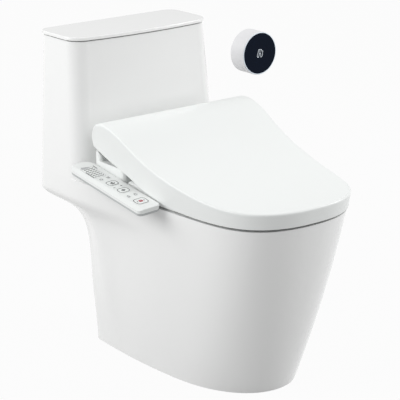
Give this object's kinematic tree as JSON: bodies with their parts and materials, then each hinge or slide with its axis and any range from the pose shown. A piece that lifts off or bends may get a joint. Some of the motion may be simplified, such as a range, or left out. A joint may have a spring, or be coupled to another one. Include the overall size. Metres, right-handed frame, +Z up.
{
  "type": "smart toilet with heated seat",
  "caption": "Skirted one-piece floor-standing toilet with a heated bidet seat, soft-close cover, side control panel and a separate wall-mounted touchless flush sensor.",
  "frame": {"origin": "centre of the waste outlet at floor level", "axes": "+Z up; -Y towards the front, the way the sitter faces; +Y to the wall; +X to the right for someone who looks at the front, so the control panel is on the -X side"},
  "size_m": [0.7163, 0.7197, 0.7],
  "materials": {
    "glazed_china": "glazed vitreous china, gloss white",
    "rubber": "soft moulded rubber",
    "valve_plastic": "moulded acetal",
    "actuator_plastic": "moulded, dark grey",
    "hose": "flexible tube",
    "grey_plastic": "moulded, light grey",
    "steel": "stainless steel",
    "white_plastic": "moulded, gloss white",
    "damper_plastic": "moulded, black",
    "heater_foil": "foil on adhesive film",
    "heater_case": "coated tank",
    "brass": "plated brass body",
    "circuit_board": "solder resist",
    "battery_case": "moulded, grey",
    "dark_glass": "dark tinted, polished",
    "light_ring": "translucent light guide"
  },
  "bodies": {
    "toilet": {"ceramic_tank": "glazed_china", "ceramic_skirt": "glazed_china", "ceramic_bowl": "glazed_china", "ceramic_trapway": "glazed_china", "lid_pads": "rubber", "fill_valve": "valve_plastic", "tank_gaskets": "rubber", "fill_nut": "valve_plastic", "flush_tower": "valve_plastic", "flush_actuator": "actuator_plastic", "refill_tube": "hose", "mounting_plate": "grey_plastic", "seat_bolts": "steel", "seat_bolt_nuts": "valve_plastic", "seat_base": "white_plastic", "seat_hood": "white_plastic", "hinge_pins": "damper_plastic", "nozzle_guide": "grey_plastic", "nozzle_guard": "white_plastic", "nozzle_motors": "steel", "water_heater": "heater_case", "water_pump": "damper_plastic", "inlet_valve": "brass", "power_inlet": "grey_plastic", "blower_housing": "damper_plastic", "dryer_outlet": "white_plastic", "deodoriser_filter": "grey_plastic", "control_board": "circuit_board", "panel_arm": "white_plastic", "panel_top": "white_plastic", "panel_base": "grey_plastic", "panel_board": "circuit_board", "sensor_wall_plate": "battery_case", "sensor_housing": "white_plastic", "sensor_ring": "light_ring", "sensor_glass": "dark_glass", "sensor_board": "circuit_board", "sensor_battery": "battery_case"},
    "tank_lid": {"tank_lid": "glazed_china"},
    "seat": {"seat_lower": "white_plastic", "seat_upper": "white_plastic", "seat_heater": "heater_foil", "seat_bumpers": "rubber"},
    "cover": {"cover": "white_plastic", "cover_bumpers": "rubber"},
    "fill_float": {"fill_float": "valve_plastic"},
    "flush_canister": {"flush_canister": "valve_plastic", "flush_seal": "rubber"},
    "nozzle_rear_wash": {"nozzle_rear_wash": "steel"},
    "nozzle_front_wash": {"nozzle_front_wash": "steel"},
    "blower_wheel": {"blower_wheel": "damper_plastic"},
    "key_power": {"key_power": "white_plastic"},
    "key_dryer": {"key_dryer": "white_plastic"},
    "key_rear_wash": {"key_rear_wash": "white_plastic"},
    "key_minus": {"key_minus": "white_plastic"},
    "key_plus": {"key_plus": "white_plastic"},
    "key_front_wash": {"key_front_wash": "white_plastic"},
    "key_water_warmth": {"key_water_warmth": "white_plastic"},
    "key_seat_warmth": {"key_seat_warmth": "white_plastic"},
    "key_stop": {"key_stop": "white_plastic"}
  },
  "joints": [
    {"name": "seat_hinge", "type": "hinge", "parent": "toilet", "child": "seat", "pos_m": [0, 0.057, 0.493], "axis": [-1, 0, 0], "range_deg": [0, 95]},
    {"name": "cover_hinge", "type": "hinge", "parent": "seat", "child": "cover", "pos_m": [0, 0.057, 0.493], "axis": [1, 0, 0], "range_deg": [-100, 0]},
    {"name": "lid_lift", "type": "slide", "parent": "toilet", "child": "tank_lid", "axis": [0, 0, 1], "range_m": [0, 0.3]},
    {"name": "float_rise", "type": "slide", "parent": "toilet", "child": "fill_float", "axis": [0, 0, 1], "range_m": [0, 0.06]},
    {"name": "canister_lift", "type": "slide", "parent": "toilet", "child": "flush_canister", "axis": [0, 0, 1], "range_m": [0, 0.025]},
    {"name": "rear_wash_reach", "type": "slide", "parent": "toilet", "child": "nozzle_rear_wash", "axis": [0, -0.9659, -0.2588], "range_m": [0, 0.085]},
    {"name": "front_wash_reach", "type": "slide", "parent": "toilet", "child": "nozzle_front_wash", "axis": [0, -0.9659, -0.2588], "range_m": [0, 0.085]},
    {"name": "blower_spin", "type": "hinge", "parent": "toilet", "child": "blower_wheel", "pos_m": [-0.14, 0.043, 0.415], "axis": [0, 0, 1], "continuous": true},
    {"name": "key_power_press", "type": "slide", "parent": "toilet", "child": "key_power", "axis": [0.061, 0.1424, -0.9879], "range_m": [0, 0.0008], "stiffness_N_per_m": 600, "springref_m": -0.0005},
    {"name": "key_dryer_press", "type": "slide", "parent": "toilet", "child": "key_dryer", "axis": [0.061, 0.1424, -0.9879], "range_m": [0, 0.0008], "stiffness_N_per_m": 600, "springref_m": -0.0005},
    {"name": "key_rear_wash_press", "type": "slide", "parent": "toilet", "child": "key_rear_wash", "axis": [0.061, 0.1424, -0.9879], "range_m": [0, 0.0008], "stiffness_N_per_m": 600, "springref_m": -0.0005},
    {"name": "key_minus_press", "type": "slide", "parent": "toilet", "child": "key_minus", "axis": [0.061, 0.1424, -0.9879], "range_m": [0, 0.0008], "stiffness_N_per_m": 600, "springref_m": -0.0005},
    {"name": "key_plus_press", "type": "slide", "parent": "toilet", "child": "key_plus", "axis": [0.061, 0.1424, -0.9879], "range_m": [0, 0.0008], "stiffness_N_per_m": 600, "springref_m": -0.0005},
    {"name": "key_front_wash_press", "type": "slide", "parent": "toilet", "child": "key_front_wash", "axis": [0.061, 0.1424, -0.9879], "range_m": [0, 0.0008], "stiffness_N_per_m": 600, "springref_m": -0.0005},
    {"name": "key_water_warmth_press", "type": "slide", "parent": "toilet", "child": "key_water_warmth", "axis": [0.061, 0.1424, -0.9879], "range_m": [0, 0.0008], "stiffness_N_per_m": 600, "springref_m": -0.0005},
    {"name": "key_seat_warmth_press", "type": "slide", "parent": "toilet", "child": "key_seat_warmth", "axis": [0.061, 0.1424, -0.9879], "range_m": [0, 0.0008], "stiffness_N_per_m": 600, "springref_m": -0.0005},
    {"name": "key_stop_press", "type": "slide", "parent": "toilet", "child": "key_stop", "axis": [0.061, 0.1424, -0.9879], "range_m": [0, 0.0008], "stiffness_N_per_m": 600, "springref_m": -0.0005}
  ]
}
